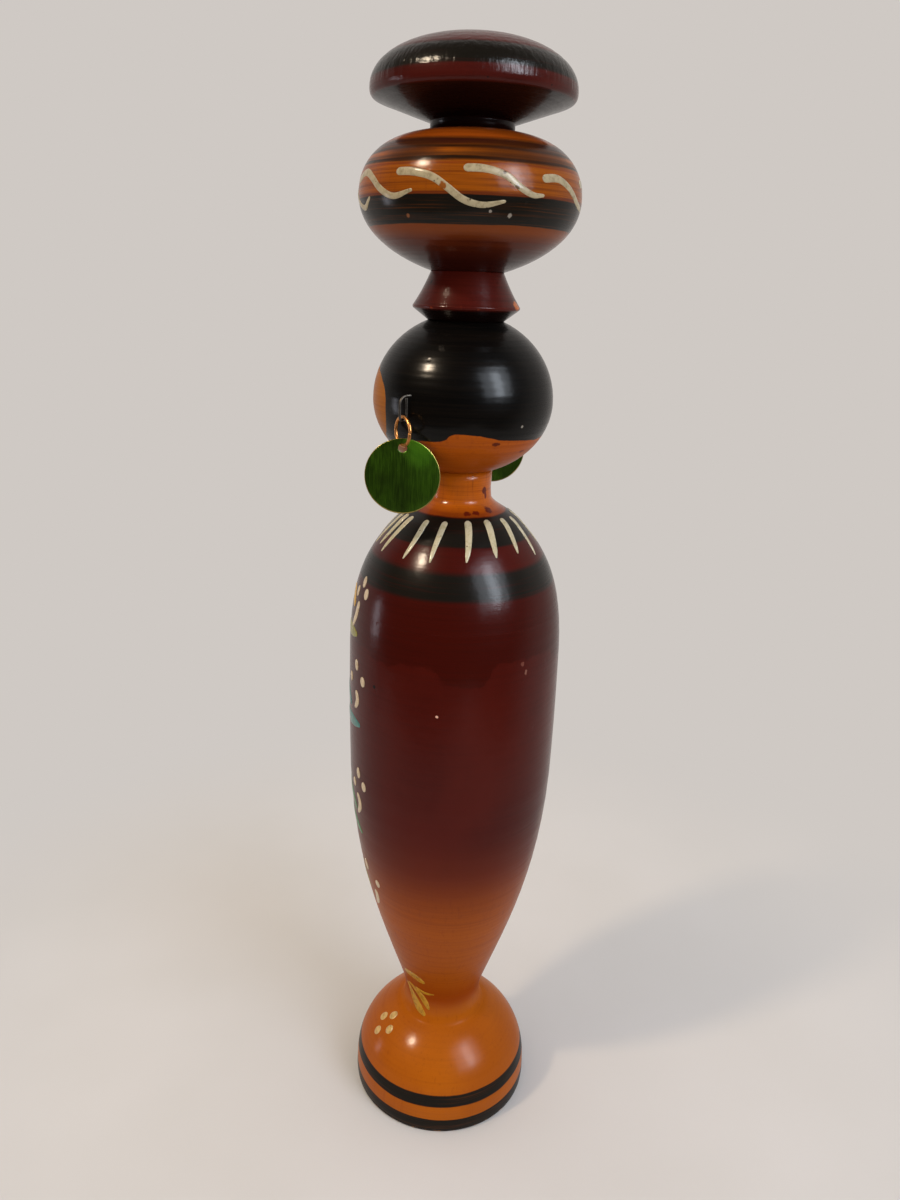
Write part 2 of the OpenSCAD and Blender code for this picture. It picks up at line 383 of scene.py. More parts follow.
def body_coat(paint):
    """Weight of the clear coat: worn low down, dull in the crease and thick on the neck."""
    worn = paint.ramp(paint.z, 60, 130, 0.44, 0.7)
    dust = paint.between(paint.z, *CREASE, 0.8)
    coat = paint.times(worn, paint.ramp(dust, 0, 1, 1, 0.15))
    return paint.times(coat, paint.ramp(paint.z, 190, 192, 1, 1.42))


def body_material():
    """The body's colours with black rings, marks, a chipped foot edge and a bare underside."""
    paint = Paint("body_lacquer")
    colour = rings(paint, body_colour(paint), BODY_RINGS)
    colour = marked(paint, colour, BODY_MARKS)
    chips = paint.ramp(paint.noise(0.5), 0.56, 0.62)
    chipped = paint.times(paint.ramp(paint.z, 1.1, 0.5), chips)
    colour = paint.mix(chipped, colour, "#8a5a2c")
    under = grained(paint, BARE_WOOD, "#7d5528", 0.6)
    colour = paint.fade(colour, under, paint.z, 0.12, 0.04)
    return lacquer(paint, colour, gloss=0.18, peel=0.04, coat=body_coat(paint))


# Lower edge of the hair, as (angle to either side, height)
NAPE = (
    (0, 209.4), (44, 208.2), (52, 208.5), (58, 209.1), (75, 210.2), (94, 210.6),
    (101, 210.7), (107.9, 211.4), (115.2, 212.9), (128, 212.6), (138.2, 211.9), (147.3, 211.3),
    (160.3, 211), (180, 210.5),
)
# Edge of the hair round the face, as (height, angle to either side)
FACE_EDGE = (
    (201, 30), (206, 40), (209.5, 48.5), (212.9, 59.1), (216.9, 62.9), (220.9, 62),
    (223.9, 54.5), (226, 42), (227.6, 24), (228.4, 0), (238, 0),
)
SKIN_MARKS = ((141.6, 210.4, 3, 0.5, "#5a220a"), (171, 207.7, 3, 0.4, "#6e2c0c"))
HAIR_MARKS = ((-168, 214, 1, 0.4, "#6e665c"), (158, 214.6, 0.9, 0.35, "#8d867a"))
CHEEKS = ((26, 213.4), (-26, 213.4))


def skin_colour(paint, side):
    """Orange skin with painted shade under the chin, tan in the face and red on the cheeks."""
    skin = streaked(paint, SKIN, "#7c330a", 0.6)
    skin = grained(paint, skin, BROWN_RED, 0.3)
    # Painted shade: darker towards the bottom of the head, under the chin
    skin = paint.fade(skin, "#8f430e", paint.z, 209.5, 203, 0.7)
    skin = marked(paint, skin, SKIN_MARKS)
    tan = streaked(paint, "#9c5c12", "#7c4110", 0.5)
    skin = paint.fade(skin, tan, side, 75, 60)
    for angle, height in CHEEKS:
        skin = paint.mix(paint.blush(angle, height, 11, 4.4), skin, "#a5381f")
    return skin


def hair_cover(paint, side):
    """1 where hair covers the head, above the nape and outside the face."""
    height = paint.strayed(paint.z, 0.2, 0.5)
    nape = paint.curve(side, NAPE)
    above_nape = paint.ramp(paint.math("SUBTRACT", height, nape), -0.1, 0.1)
    face_edge = paint.curve(height, FACE_EDGE)
    outside_face = paint.ramp(paint.math("SUBTRACT", side, face_edge), -0.3, 0.3)
    return paint.times(above_nape, outside_face)


def head_material():
    """Black hair over orange skin, with the hairline's dip behind each ear."""
    paint = Paint("head_lacquer")
    side = paint.math("ABSOLUTE", paint.angle())
    cover = hair_cover(paint, side)
    hair = marked(paint, streaked(paint, HAIR, "#17100a", 0.5), HAIR_MARKS)
    colour = paint.mix(cover, skin_colour(paint, side), hair)
    return lacquer(paint, colour, gloss=0.19, peel=0.026, coat=paint.ramp(cover, 0, 1, 0.3, 0.64))


COLLAR_MARKS = (
    (-172, 241.9, 8, 1.1, NECK_ORANGE), (-20, 241.4, 6, 0.6, "#8a4a1c"),
    (60, 247, 2, 0.4, "#1c0704"),
)


def collar_material():
    """Dark red ring, rubbed at its rim and chipped in one place."""
    paint = Paint("collar_lacquer")
    red = streaked(paint, "#4d150d", DEEP_RED, 0.6)
    # Nearly black on the underside, below the rim
    red = paint.fade(red, "#120604", paint.z, 241, 240.3)
    edge = paint.between(paint.z, 240.9, 241.7, 0.2)
    rubbed = paint.times(edge, paint.ramp(paint.noise(0.5), 0.62, 0.7))
    colour = marked(paint, paint.mix(rubbed, red, "#7c3216"), COLLAR_MARKS)
    return lacquer(paint, colour, gloss=0.15)


POT_RINGS = (
    (258.8, 264.8, 0.15, 0.8, BLACK),
    (264.8, 265.4, 0.25, 0.2, "#5a2410"),
    (270.9, 271.3, 0.2, 0.1, "#7a350a"),
    (271.6, 272.5, 0.3, 0.75, "#241304"),
    (272.5, 273.1, 0.25, 0.4, "#5c2f0a"),
    (274.8, 276.7, 0.5, 0.6, "#3a180a"),
    (274.1, 274.8, 0.3, 0.7, "#241304"),
    (275.7, 276.2, 0.3, 0.3, "#35140a"),
)
# Smudges over the thin rings, as (angle, half width in degrees)
POT_SMUDGES = ((84, 22), (148, 44), (-60, 40))
POT_MARKS = (
    (85.6, 260.5, 1, 0.4, "#7a4a2c"), (138, 261, 1, 0.5, "#8d8478"),
    (128, 261.6, 0.7, 0.3, "#8d8478"), (-60, 261, 1.4, 0.5, "#7a4a2c"),
)


def pot_material():
    """Orange pot with a broad black belt and thin rings under its mouth."""
    paint = Paint("pot_lacquer")
    wood = grained(paint, streaked(paint, "#964d06", "#5a2505", 0.8), BROWN_RED, 0.25)
    brown = clouded(paint, streaked(paint, "#5a240d", DEEP_RED, 0.5), "#6a2a10", 0.6)
    brown = paint.fade(brown, "#84400f", paint.z, 255.5, 258, 0.6)
    top = streaked(paint, "#94440b", "#6a2a08", 0.6)
    height = turned_height(paint)
    base = paint.fade(brown, wood, height, 258.6, 259)
    base = paint.fade(base, top, height, 276.5, 276.9)
    # Painted reflection of the dark collar: darker towards the pot's foot
    base = paint.fade(base, "#260905", height, 257.6, 251.2, 0.94)
    colour = rings(paint, base, POT_RINGS)
    for angle, wide in POT_SMUDGES:
        colour = paint.mix(paint.blush(angle, 273.8, wide, 3.2), colour, "#3a1c08")
    return lacquer(paint, marked(paint, colour, POT_MARKS), gloss=0.14, peel=0.055)


LID_RINGS = ((290.1, 294.8, 0.35, 0.75, BLACK),)


def lid_material():
    """Dark red lid with a black ring and a very dark underside."""
    paint = Paint("lid_lacquer")
    red = clouded(paint, streaked(paint, "#42110b", DEEP_RED, 0.55), "#541810", 0.6)
    under = streaked(paint, "#160605", "#0c0303", 0.5)
    base = paint.fade(under, red, paint.z, 286.6, 287)
    edge = paint.between(paint.z, 286.4, 289, 0.3)
    chips = paint.times(edge, paint.ramp(paint.noise(0.6), 0.68, 0.72))
    colour = paint.mix(chips, rings(paint, base, LID_RINGS), "#0c0403")
    coat = paint.ramp(paint.z, 285.4, 287.9, 0.65, 0.8)
    ripple = paint.ramp(paint.z, 287, 289, 0, 2.5)
    return lacquer(paint, colour, gloss=0.13, peel=0.07, coat=coat, ripple=ripple)


# Other materials

def brush_material(name, colour, shade, marks=()):
    """Thick brush paint with bristle streaks, thin places, dark specks and worn marks."""
    paint = Paint(name)
    thin = paint.noise(0.9, detail=4, roughness=0.6)
    bristle = paint.noise(2.6, 0.7)
    grime = paint.noise(0.25)
    covered = paint.fade(colour, shade, thin, 0.42, 0.75, 0.75)
    covered = marked(paint, covered, marks)
    specks = paint.times(paint.specks(0.9, 0.22), paint.ramp(grime, 0.5, 0.62))
    paint.set(
        Base_Color=paint.mix(specks, covered, "#4a3c28"),
        Roughness=paint.ramp(bristle, 0.3, 0.7, 0.3, 0.5),
        Normal=paint.bump(paint.math("MULTIPLY_ADD", thin, 0.6, bristle), 0.04),
        Coat_Weight=0.6,
        Coat_Roughness=0.14,
        Coat_IOR=1.38,
        Specular_IOR_Level=0.1,
    )
    return paint.material


def bare_wood_material():
    """Plain wood of the dowels."""
    paint = Paint("bare_wood")
    grain = paint.noise(1.6, 0.08, detail=6, roughness=0.65)
    paint.set(
        Base_Color=paint.fade(BARE_WOOD, "#8d6434", grain, 0.35, 0.7),
        Roughness=paint.ramp(grain, 0.3, 0.7, 0.55, 0.75),
        Normal=paint.bump(grain, 0.05),
    )
    return paint.material


def metal_material(name, colour, dull, roughness):
    """Bare metal with faint scratches and dull patches."""
    paint = Paint(name)
    patch = paint.noise(0.4, detail=4, roughness=0.6)
    scratch = paint.noise(4, 1, detail=2)
    paint.set(
        Base_Color=paint.fade(colour, dull, patch, 0.42, 0.68),
        Metallic=1,
        Roughness=paint.ramp(patch, 0.35, 0.7, roughness, roughness + 0.15),
        Normal=paint.bump(scratch, 0.0006),
    )
    return paint.material


def sheet_material():
    """Green lacquer on rolled sheet metal, with the roll's upright streaks and scuffs, and a painted
    highlight and painted shade on the left disc.
    """
    paint = Paint("green_sheet")
    roll = paint.noise(5.5, 0.12, detail=5, roughness=0.7)
    cloud = paint.noise(0.16, 0.1)
    scuff = paint.noise(0.45, 2.8, detail=4, roughness=0.7)
    green = paint.fade("#2e4b07", "#476f0e", roll, 0.3, 0.7)
    green = paint.fade(green, "#2a3f06", cloud, 0.4, 0.65, 0.7)
    # Painted highlight: a brighter green patch at the disc's upper right
    green = paint.mix(paint.blush(93, 211, 12, 8), green, "#5f9c1c")
    # Painted shade: a darker patch across the disc's left middle
    green = paint.mix(paint.blush(62, 204, 10, 4), green, "#1c2e04")
    green = paint.fade(green, "#7aa653", scuff, 0.68, 0.78, 0.6)
    green = paint.mix(paint.specks(0.35, 0.07), green, "#16300a")
    relief = paint.math("MULTIPLY_ADD", scuff, 0.5, roll)
    paint.set(
        Base_Color=green,
        Metallic=0.85,
        Roughness=paint.ramp(roll, 0.3, 0.7, 0.3, 0.46),
        Normal=paint.bump(relief, 0.02),
        Coat_Weight=0.3,
        Coat_Roughness=0.2,
    )
    return paint.material


# Turned pieces

def between_points(points, steps):
    """Points of a smooth line through the given ones, with steps to each span."""
    spans = [b - a for a, b in zip(points, points[1:])]
    lengths = [span.length for span in spans]
    slopes = [span / length for span, length in zip(spans, lengths)]
    headings = [slopes[0]] + [
        (slopes[i] * lengths[i + 1] + slopes[i + 1] * lengths[i]) / (lengths[i] + lengths[i + 1])
        for i in range(len(spans) - 1)
    ] + [slopes[-1]]
    line = []
    for i, length in enumerate(lengths):
        leaving, arriving = headings[i] * length, headings[i + 1] * length
        for t in (k / steps for k in range(steps)):
            line.append(
                points[i] * (2 * t ** 3 - 3 * t ** 2 + 1) + leaving * (t ** 3 - 2 * t ** 2 + t)
                + points[i + 1] * (3 * t ** 2 - 2 * t ** 3) + arriving * (t ** 3 - t ** 2)
            )
    return line + [points[-1]]


def turn_between(a, b, c):
    """Angle in degrees by which the line a, b, c turns at b."""
    return math.degrees((b - a).angle(c - b))


def turns(count):
    """Angles in radians, spread evenly round a circle."""
    return [2 * math.pi * k / count for k in range(count)]


def round_axis(radius, turn, height):
    """Point at an angle in radians from the doll's front."""
    return Vector((radius * math.sin(turn), -radius * math.cos(turn), height))


def new_object(name, data):
    """An object in the scene."""
    thing = bpy.data.objects.new(name, data)
    bpy.context.scene.collection.objects.link(thing)
    return thing


class Outline:
    """Outer outline of a turned CAD node, as (radius, height) points from its seat up."""

    def __init__(self, node, rounding):
        self.rounding = rounding
        mesh = frame["nodes"][node].data
        count = Counter(
            (round(math.hypot(*v.co[:2]) / MM, 2), round(v.co.z / MM, 2)) for v in mesh.vertices
        )
        found = [Vector(point) for point, times in count.items() if times >= RING_POINTS]
        found.sort(key=lambda p: (p.y, p.x))
        outer = [p for p in found if p.x > BORE_LIMIT]
        self.bores = [p for p in found if TIP_LIMIT < p.x <= BORE_LIMIT]
        top = max(v.co.z for v in mesh.vertices) / MM
        if outer[-1].y < top - 0.01:
            outer += [p for p in found if p.x <= TIP_LIMIT and p.y > outer[-1].y]
            outer.append(Vector((0, top)))
        self.points = self.rounded(outer)

    def rounded(self, points):
        """Smooth curves between the corners, and each corner rounded off."""
        corners = [0] + [
            i for i in range(1, len(points) - 1)
            if turn_between(*points[i - 1:i + 2]) > CORNER_ANGLE
        ] + [len(points) - 1]
        runs = [
            between_points(points[a:b + 1], OUTLINE_STEPS if b - a > 1 else 1)
            for a, b in zip(corners, corners[1:])
        ]
        line = runs[0]
        for run in runs[1:]:
            corner = line[-1]
            before, after = self.beside(corner, line[-2]), self.beside(corner, run[1])
            arc = [before.lerp(corner, t).lerp(corner.lerp(after, t), t) for t in ARC_SHARES]
            line = line[:-1] + arc + run[1:]
        return line

    def beside(self, corner, other):
        """Point on the way from a corner to another point, where the rounding starts."""
        way = other - corner
        return corner + way.normalized() * min(self.rounding, way.length / 2)

    def at(self, height):
        """(radius, outward normal) of the surface at a height."""
        for a, b in zip(self.points, self.points[1:]):
            if a.y <= height <= b.y and b.y > a.y:
                along = (b - a).normalized()
                share = (height - a.y) / (b.y - a.y)
                return a.x + (b.x - a.x) * share, Vector((along.y, -along.x))
        raise ValueError(height)

    def place(self, angle, height, lift):
        """Point that lies lift above the surface."""
        radius, normal = self.at(height)
        return round_axis(radius + normal.x * lift, math.radians(angle), height + normal.y * lift)


def new_piece(name, points, faces, materials, body, stands_for=()):
    """A smooth mesh piece, from points in millimetres, that rides on a body."""
    mesh = bpy.data.meshes.new(name)
    mesh.from_pydata([tuple(p * MM) for p in points], [], faces)
    mesh.polygons.foreach_set("use_smooth", [True] * len(mesh.polygons))
    mesh.validate()
    for material in materials:
        mesh.materials.append(material)
    piece = new_object(name, mesh)
    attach(piece, body)
    if stands_for:
        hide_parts(*stands_for)
    return piece


def loop_faces(rows, around, closed):
    """Quads between rows of points, each row closed round on itself."""
    faces = []
    for i in range(rows if closed else rows - 1):
        j = (i + 1) % rows
        for k in range(around):
            n = (k + 1) % around
            faces.append((i * around + k, i * around + n, j * around + n, j * around + k))
    return faces


def tube_faces(rows, around, first=0):
    """Faces of a tube of rows, closed at both ends, whose points are numbered from first."""
    faces = [tuple(first + k for k in face) for face in loop_faces(rows, around, False)]
    last = first + (rows - 1) * around
    faces.append(tuple(first + k for k in reversed(range(around))))
    faces.append(tuple(last + k for k in range(around)))
    return faces


def turned_piece(node, material, rounding=EDGE_ROUNDING):
    """The turned piece with its dowel holes."""
    outline = Outline(node, rounding)
    line = outline.points
    halfway = (line[0].y + line[-1].y) / 2
    low = [p for p in outline.bores if p.y < halfway]
    high = [p for p in outline.bores if p not in low]
    through = len(low) == 1 and len(high) == 1
    line = sorted(low, key=lambda p: -p.y) + line + sorted(high, key=lambda p: -p.y)
    domed = line[-1].x == 0
    rows = line[:-1] if domed else line
    points = [round_axis(p.x, turn, p.y) for p in rows for turn in turns(ROUNDS)]
    faces = loop_faces(len(rows), ROUNDS, through)
    last = (len(rows) - 1) * ROUNDS
    if domed:
        points.append(Vector((0, 0, line[-1].y)))
        faces += [(last + k, last + (k + 1) % ROUNDS, len(points) - 1) for k in range(ROUNDS)]
    elif not through:
        faces.append(tuple(last + k for k in range(ROUNDS)))
    if not through:
        faces.append(tuple(reversed(range(ROUNDS))))
    new_piece("turned_" + node, points, faces, [material], "doll", [node])
    return outline


# Brush strokes

def mirrored(points, side):
    """(angle, height) points as given for side 1, and on the doll's other side for side -1."""
    return [(side * angle, height) for angle, height in points]


class Strokes:
    """Raised brush strokes on one turned piece, gathered into one mesh."""

    # Points across a stroke, level of its underside, and half width below which it lies flatter
    ACROSS = 7
    SUNK = -0.12
    THIN = 0.5
    # Steps between knots, spacing of cross-sections, and those in a round end as shares of its radius
    PATH_STEPS = 12
    SPACING = 0.6
    END_SHARES = (0.02, 0.1, 0.25, 0.5, 0.75)
    # Rows of points in a dot, and points in a row
    DOT_ROWS = 5
    DOT_ROUNDS = 20
    # Least height gained per millimetre of surface, for places that are almost level
    LEAST_CLIMB = 0.2

    def __init__(self, outline):
        self.outline = outline
        self.points = []
        self.faces = []

    def surface(self, height):
        """(radius, height gained per millimetre of surface) at a height."""
        radius, normal = self.outline.at(height)
        return radius, max(normal.x, self.LEAST_CLIMB)

    def shifted(self, at, along, offset):
        """Surface (angle, height) reached by going offset millimetres to the side of a path."""
        radius, climb = self.surface(at.y)
        return Vector((at.x + math.degrees(-along.y * offset / radius), at.y + along.x * offset * climb))

    def flat_step(self, a, b):
        """Step from a to b on the surface, laid flat, in millimetres."""
        radius, climb = self.surface((a.y + b.y) / 2)
        return Vector((math.radians(b.x - a.x) * radius, (b.y - a.y) / climb))

    @staticmethod
    def along(path, steps, mark):
        """Place and direction on a path at a distance from its start."""
        for at, after, step in zip(path, path[1:], steps):
            if mark <= step.length or after is path[-1]:
                return at.lerp(after, min(mark / step.length, 1)), step.normalized()
            mark -= step.length

    @staticmethod
    def width_at(widths, share):
        """Width at a share of a stroke's length."""
        place = share * (len(widths) - 1)
        lower = min(int(place), len(widths) - 2)
        return widths[lower] + (widths[lower + 1] - widths[lower]) * (place - lower)

    def cross_section(self, at, along, half, high):
        """Points over a stroke from edge to edge, and one under its middle."""
        row = []
        for k in range(self.ACROSS):
            s = 2 * k / (self.ACROSS - 1) - 1
            spot = self.shifted(at, along, half * s)
            crown = high * math.sqrt(1 - s * s) if abs(s) < 1 else self.SUNK
            row.append(self.outline.place(spot.x, spot.y, crown))
        row.append(self.outline.place(at.x, at.y, self.SUNK))
        return row

    def add(self, rows):
        """Adds a closed skin over rows of points."""
        self.faces += tube_faces(len(rows), len(rows[0]), len(self.points))
        for row in rows:
            self.points += row

    def stroke(self, knots, widths, lift=0.16):
        """A round-ended stroke through (angle, height) knots, with widths spread evenly along it."""
        path = between_points([Vector(knot) for knot in knots], self.PATH_STEPS)
        steps = [self.flat_step(a, b) for a, b in zip(path, path[1:])]
        length = sum(step.length for step in steps)
        head, tail = widths[0] / 2, widths[-1] / 2
        count = max(int(length / self.SPACING), 4)
        marks = [head * share for share in self.END_SHARES]
        marks += [head + (length - head - tail) * i / count for i in range(count + 1)]
        marks += [length - tail * share for share in reversed(self.END_SHARES)]
        rows = []
        for mark in marks:
            half = self.width_at(widths, mark / length) / 2
            for end, room in ((head, mark), (tail, length - mark)):
                half *= math.sqrt(max(1 - max(1 - room / end, 0) ** 2, 0))
            at, along = self.along(path, steps, mark)
            rows.append(self.cross_section(at, along, half, lift * min(1, half / self.THIN)))
        self.add(rows)

    def dot(self, angle, height, wide, tall=None, lean=0, lift=0.2):
        """A round or oval touch of the brush."""
        tall = tall or wide
        radius, climb = self.surface(height)
        c, s = math.cos(math.radians(lean)), math.sin(math.radians(lean))
        rows = []
        for i in range(self.DOT_ROWS):
            share = i / (self.DOT_ROWS - 1)
            rise = self.SUNK if i == 0 else lift * math.sin(share * math.pi / 2)
            size = 1 if i == 0 else math.cos((i - 1) / (self.DOT_ROWS - 1) * math.pi / 2)
            row = []
            for turn in turns(self.DOT_ROUNDS):
                x, y = wide / 2 * size * math.cos(turn), tall / 2 * size * math.sin(turn)
                across, up = x * c - y * s, x * s + y * c
                place = angle + math.degrees(across / radius), height + up * climb
                row.append(self.outline.place(*place, rise))
            rows.append(row)
        self.add(rows)

    def done(self, name, *paint):
        """Writes the gathered strokes as one piece, in a paint as brush_material takes it."""
        new_piece(name, self.points, self.faces, [brush_material(*paint)], "doll")


# Strokes seen in the photograph, as (head angle, head height, point angle, point height)
SHOULDER_STROKES = (
    (38.5, 189, 33.5, 180.4), (50.1, 189.2, 45.7, 181.2), (61.4, 189.2, 54.9, 180.2),
    (83.7, 189.3, 79.3, 180.5), (104, 189.5, 99.7, 180.7), (127.9, 189.8, 124.1, 181.2),
    (149.6, 189.8, 145.8, 181.9), (171.5, 189.6, 165.3, 182), (189, 189.3, 184.5, 180.3),
)
# Gaps between the strokes on the hidden side
HIDDEN_GAPS = 10


def shoulder_strokes(body):
    """Tapered strokes round the shoulder, wide at the neck and pointed below."""
    strokes = Strokes(body)
    rows = list(SHOULDER_STROKES)
    first, last = rows[0][0] + 360, rows[-1][0]
    for i in range(1, HIDDEN_GAPS):
        angle = last + (first - last) * i / HIDDEN_GAPS + 1.5 * math.sin(i * 2.3)
        top = 189.4 + 0.3 * math.sin(i * 1.9)
        rows.append((angle, top, angle - 4, 181 + 0.7 * math.sin(i * 1.7)))
    for i, (a, top, b, foot) in enumerate(rows):
        sway = 0.6 * math.sin(i * 2.7)
        wide = 2.2 + 0.25 * math.sin(i * 1.3)
        upper = (a * 0.7 + b * 0.3 + sway, top * 0.7 + foot * 0.3)
        lower = (a * 0.3 + b * 0.7 + sway, top * 0.3 + foot * 0.7)
        widths = (wide, wide, wide * 0.97, wide * 0.9, wide * 0.8, wide * 0.66, 0.5)
        strokes.stroke(((a, top), upper, lower, (b, foot)), widths, lift=0.14)
    strokes.done("shoulder_strokes", "cream_shoulder", CREAM, "#a99e72")


# Lying S strokes seen on the pot, as (angle, height) points from the round head to the tail
POT_WAVES = (
    ((5, 269), (16, 269.6), (28, 267.6), (40, 264.2), (51, 262.6), (59.5, 264.6)),
    ((41, 268.6), (54.6, 269.9), (62, 268.4), (68.8, 266.2), (77.3, 264.5), (89.8, 265.6)),
    (
        (79.9, 269.4), (89.9, 269.2), (101.3, 267.8), (107.1, 266.1), (114.5, 263.8), (122.9, 262.8),
        (135, 263.7),
    ),
    ((114.4, 270), (125, 269.9), (135.4, 268.6), (142.4, 266.5), (149.1, 265.3), (155.5, 265.4)),
    ((154, 268.8), (165.7, 269.1), (174.3, 267.7), (185, 265), (198, 263.6)),
)
# Strokes on the hidden side: points of one, start of the first, way to the next start, and number
HIDDEN_WAVE = ((0, 269.2), (11, 269.4), (21, 267.9), (29, 265.4), (37, 263.6), (48, 263.4))
HIDDEN_START = 189.5
HIDDEN_STEP = 35.3
HIDDEN_WAVES = 5
WAVE_WIDTHS = (2.15, 2.2, 2.05, 1.95, 1.9, 1.8, 1.5, 0.8)
WAVE_MARKS = (
    (105, 266.4, 1.7, 0.8, "#8a4d14"), (133.9, 269.4, 0.9, 0.4, "#5c4a34"),
    (140, 266.6, 1.2, 0.5, "#6a563e"), (-70, 266.8, 1.6, 0.8, "#8a4d14"),
)


def pot_waves(pot):
    """Lying S strokes round the pot, each starting above the end of the one before."""
    strokes = Strokes(pot)
    waves = list(POT_WAVES)
    for i in range(HIDDEN_WAVES):
        start = HIDDEN_START + HIDDEN_STEP * i + 2 * math.sin(i * 2.1)
        drop = 0.4 * math.sin(i * 1.7)
        waves.append([(start + angle, height + drop) for angle, height in HIDDEN_WAVE])
    for wave in waves:
        strokes.stroke(wave, WAVE_WIDTHS, lift=0.1)
    strokes.done("pot_waves", "cream_pot", "#ad9f7e", "#7c6e4d", WAVE_MARKS)


# Dots and curved strokes down the edge of the front, as seen on the doll's left
SPRIG_DOTS = (
    (52.5, 171.8, 1.9, 3.1), (46.2, 168.6, 1.8, 2.9), (58.4, 169.3, 2.1, 3),
    (55.5, 149.2, 2, 3.2), (46.7, 144.2, 1.9, 2.9), (62.7, 145.6, 2.2, 2.9),
    (57.2, 116.8, 2, 3.3), (50.8, 112.4, 1.8, 2.8), (63.3, 113.8, 2.2, 2.9),
    (54, 85, 1.8, 3.8), (66.6, 81.4, 2, 2.6),
)
SPRIG_TAILS = (
    ((51.4, 166.4), (50.5, 163.6), (45.5, 158.6)),
    ((54.6, 141.6), (56.6, 139.4), (53.4, 136.2)),
    ((54.6, 109.8), (57.4, 106.8), (53.6, 103)),
    ((61, 77.6), (60.6, 74.6), (57, 71.4)),
)
# Leaf touches, as (colour, points)
SPRIG_LEAVES = (
    ("yellow", ((31, 168.4), (37.5, 166.8), (44.5, 164))),
    ("olive", ((30, 157.5), (40, 157.4), (54.5, 157.6))),
    ("teal", ((28, 139.8), (36, 138.4), (46.5, 135.6))),
    ("teal", ((30, 131.5), (42, 131.4), (60, 132))),
    ("green", ((30, 109.5), (40, 108), (52, 103.6))),
    ("green", ((30, 100.5), (42, 99.4), (56.5, 96.6))),
    ("olive", ((30, 84), (40, 81), (49, 75.5))),
)
# Flowers down the middle of the front: (height, petal colour), a petal's points as distances from
# the flower's middle, and a leaf stem's points as (angle, drop below the flower)
FRONT_FLOWERS = ((161, "yellow"), (134, "cream"), (105, "yellow"), (80, "cream"))
PETALS = 6
PETAL_REACH = (2, 3.8, 5.8)
STEM = ((3, 8.5), (12, 6.5), (22, 7.5))
LEAF_COLOURS = {
    "yellow": ("#c79a26", "#9a6f16"), "olive": ("#8a8426", "#5f5a18"), "green": ("#3a7440", "#24532c"),
    "teal": ("#35756f", "#24504b"), "cream": ("#ccb99c", "#9c8463"), "rust": ("#a8401c", "#6e2610"),
}


def flower(paints, body, height, petal):
    """A flower in the middle of the front, with a leaf to each side below it."""
    radius, _ = body.at(height)
    for k in range(PETALS):
        turn = math.radians(360 / PETALS * k + 30)
        knots = [
            (math.degrees(reach * math.sin(turn) / radius), height + reach * math.cos(turn))
            for reach in PETAL_REACH
        ]
        paints[petal].stroke(knots, (1.2, 2.2, 2.6, 2.2), lift=0.14)
    paints["rust"].dot(0, height, 3)
    for side in (1, -1):
        stem = [(side * angle, height - drop) for angle, drop in STEM]
        paints["green"].stroke(stem, (0.7, 1.9, 2.2, 0.5), lift=0.1)


def body_flowers(body):
    """Sprigs down both edges of the front, and a plain row of flowers between them."""
    paints = {name: Strokes(body) for name in LEAF_COLOURS}
    for side in (1, -1):
        for angle, height, wide, tall in SPRIG_DOTS:
            paints["cream"].dot(side * angle, height, wide, tall, lean=6 * side)
        for points in SPRIG_TAILS:
            paints["cream"].stroke(mirrored(points, side), (1.9, 2.4, 2.5, 2.1, 1.1))
        for name, points in SPRIG_LEAVES:
            paints[name].stroke(mirrored(points, side), (2, 4, 4.6, 3.6, 1.4), lift=0.1)
    for height, petal in FRONT_FLOWERS:
        flower(paints, body, height, petal)
    for name, strokes in paints.items():
        strokes.done("body_" + name, name + "_body", *LEAF_COLOURS[name])


# Dots on the foot's dome, as (angle, height), and the touches of the waist's leaf, as (points, widths)
FOOT_DOTS = ((45.3, 23.7), (53.5, 25.6), (51.6, 20.9), (61.9, 23.4))
WAIST_LEAF = (
    (((66, 45.4), (80, 45.7), (96, 43.9)), (2, 3.6, 4.2, 3.6, 1.6)),
    (((56, 38.4), (70, 34), (82, 31.4), (94, 29.6)), (1.6, 3, 3.8, 3.6, 1.2)),
    (((64, 39.6), (76, 38.2), (88, 35.8), (99, 32)), (1.6, 2.8, 3.2, 2.8, 1)),
    (((78, 39.6), (92, 38.6), (107, 39)), (1.2, 1.8, 1.4, 0.4)),
)


def foot_touches(body):
    """Four dots on the foot's dome and a yellow leaf at the waist, on both sides."""
    dots, leaf = Strokes(body), Strokes(body)
    for side in (1, -1):
        for angle, height in mirrored(FOOT_DOTS, side):
            dots.dot(angle, height, 2.4, 3, lean=-12 * side)
        for points, widths in WAIST_LEAF:
            leaf.stroke(mirrored(points, side), widths, lift=0.1)
    dots.done("foot_dots", "cream_foot", "#cba868", "#a07d42")
    leaf.done("waist_leaves", "yellow_waist", "#b4851c", "#7d4f10")


# Lines of the face, as (angle, height) points. Brow and eyelid are those of the left eye.
BROW = ((8, 222.6), (17, 224.2), (27, 223))
EYELID = ((9.5, 218.8), (17, 220.7), (26, 219.2))
EYE_ANGLE = 17
NOSE = ((-2.6, 214.4), (0, 213.9), (2.6, 214.4))
MOUTH = ((-7.5, 210.4), (-3, 210.9), (0, 210.6), (3, 210.9), (7.5, 210.4))


